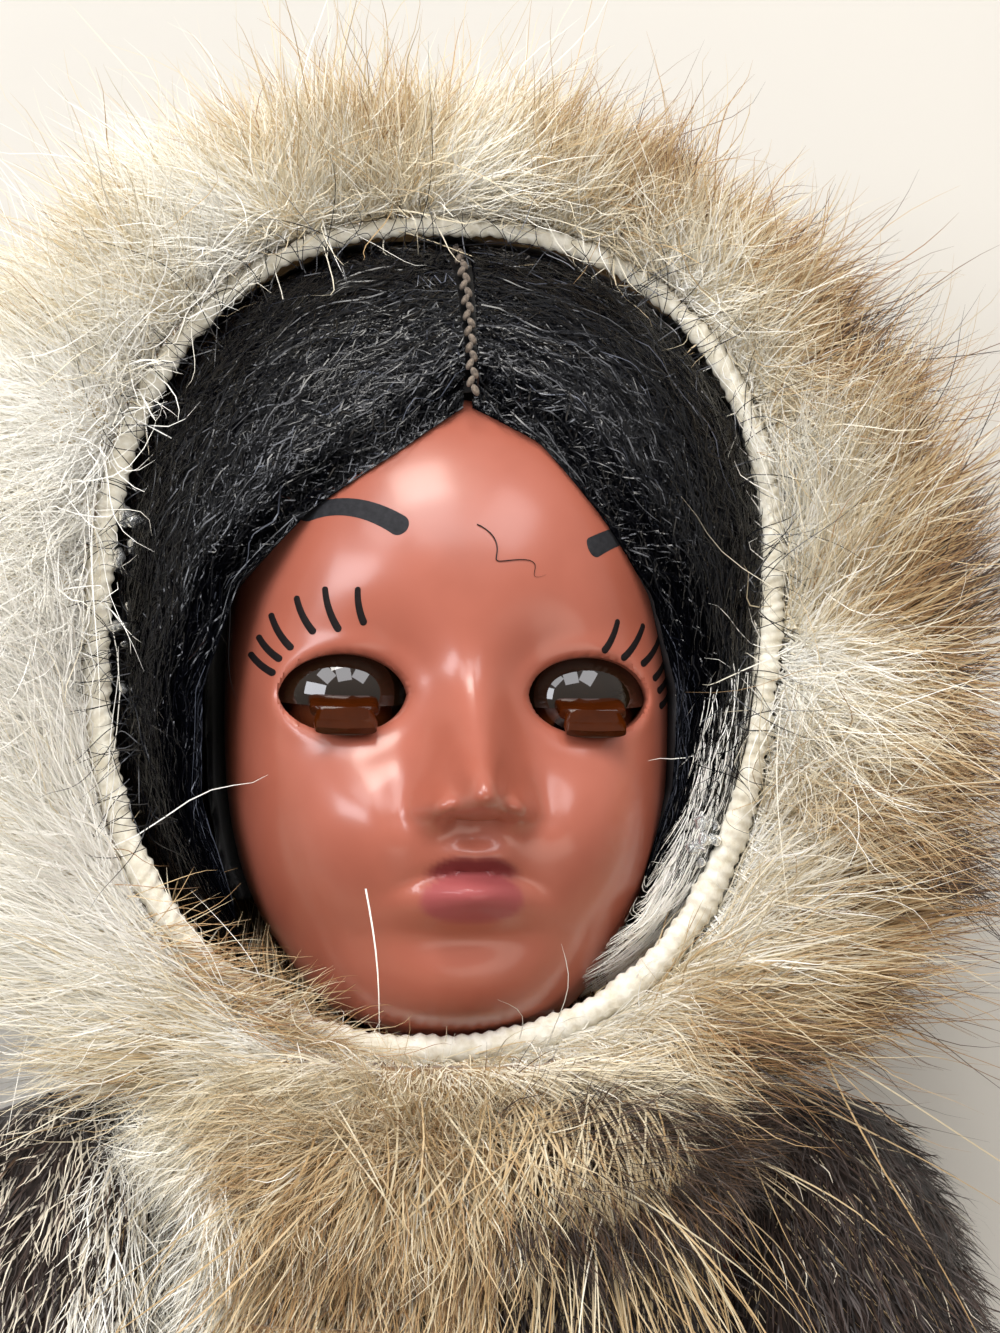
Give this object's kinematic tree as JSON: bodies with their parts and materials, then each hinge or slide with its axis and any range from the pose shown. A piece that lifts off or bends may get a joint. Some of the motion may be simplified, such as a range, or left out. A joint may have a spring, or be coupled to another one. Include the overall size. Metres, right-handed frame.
{
  "type": "inuit doll",
  "caption": "Hard plastic costume doll with weighted sleep eyes, a parted black wig, a fur-ruffed hood, a fur parka, trousers and soft boots, lying on its back.",
  "frame": {"origin": "middle of the flat of the parka's back, on the surface that the doll lies on", "axes": "+X towards the doll's own left, +Y from the soles to the crown, +Z out of the face"},
  "size_m": [0.0918, 0.2105, 0.0503],
  "materials": {
    "skin_plastic": "terracotta brown hard plastic with a soft gloss, painted brows, lashes and lips",
    "body_plastic": "unpainted terracotta brown hard plastic",
    "lid_plastic": "polished dark amber plastic with a moulded lash",
    "eye_plastic": "polished near-black brown plastic with a brown iris",
    "wire_steel": "bare drawn wire and stamped strip",
    "weight_metal": "dull cast metal",
    "elastic": "plain rubber cord",
    "wig_cloth": "black cotton net",
    "hair": "coarse black mohair, slightly shiny and frizzy",
    "part_thread": "grey-brown stitching thread",
    "tan_fur": "tan fur pelt, hair side out",
    "white_hide": "rolled raw white hide, crinkled",
    "pale_fur": "long cream fur with tan and brown guard hairs",
    "dark_fur": "dark brown short fur pelt, hair side out",
    "boot_leather": "soft tan suede",
    "sole_leather": "flat brown leather, cut edge"
  },
  "bodies": {
    "body": {"body_front": "body_plastic", "body_back": "body_plastic", "neck_plug": "body_plastic", "neck_hook": "wire_steel", "arm_elastic": "elastic", "parka_front": "dark_fur", "parka_back": "dark_fur", "front_band": "tan_fur", "collar_fur": "pale_fur", "hem_band": "pale_fur", "left_trouser_leg": "dark_fur", "right_trouser_leg": "dark_fur", "left_boot_cuff": "pale_fur", "right_boot_cuff": "pale_fur", "left_boot": "boot_leather", "right_boot": "boot_leather", "left_boot_sole": "sole_leather", "right_boot_sole": "sole_leather"},
    "head": {"face_shell": "skin_plastic", "head_back_shell": "skin_plastic", "eye_bracket": "wire_steel", "wig_cap": "wig_cloth", "hair_left": "hair", "hair_right": "hair", "part_thread": "part_thread", "hood_shell": "tan_fur", "hood_edge": "white_hide", "hood_ruff": "pale_fur"},
    "eyes": {"left_eyeball": "eye_plastic", "right_eyeball": "eye_plastic", "left_eyelid": "lid_plastic", "right_eyelid": "lid_plastic", "eye_axle": "wire_steel", "eye_weight": "weight_metal"},
    "left_arm": {"left_arm": "skin_plastic", "left_sleeve": "dark_fur", "left_cuff": "pale_fur"},
    "right_arm": {"right_arm": "skin_plastic", "right_sleeve": "dark_fur", "right_cuff": "pale_fur"}
  },
  "joints": [
    {"name": "head_turn", "type": "hinge", "parent": "body", "child": "head", "pos_m": [0, 0.036, 0.0248], "axis": [0, 1, 0], "range_deg": [-20, 20]},
    {"name": "eyes_roll", "type": "hinge", "parent": "head", "child": "eyes", "pos_m": [0, 0.059, 0.03315], "axis": [-1, 0, 0], "range_deg": [0, 24]},
    {"name": "left_arm_swing", "type": "hinge", "parent": "body", "child": "left_arm", "pos_m": [0.026, 0.021, 0.0248], "axis": [1, 0, 0], "range_deg": [-75, 15]},
    {"name": "right_arm_swing", "type": "hinge", "parent": "body", "child": "right_arm", "pos_m": [-0.026, 0.021, 0.0248], "axis": [1, 0, 0], "range_deg": [-75, 15]}
  ]
}
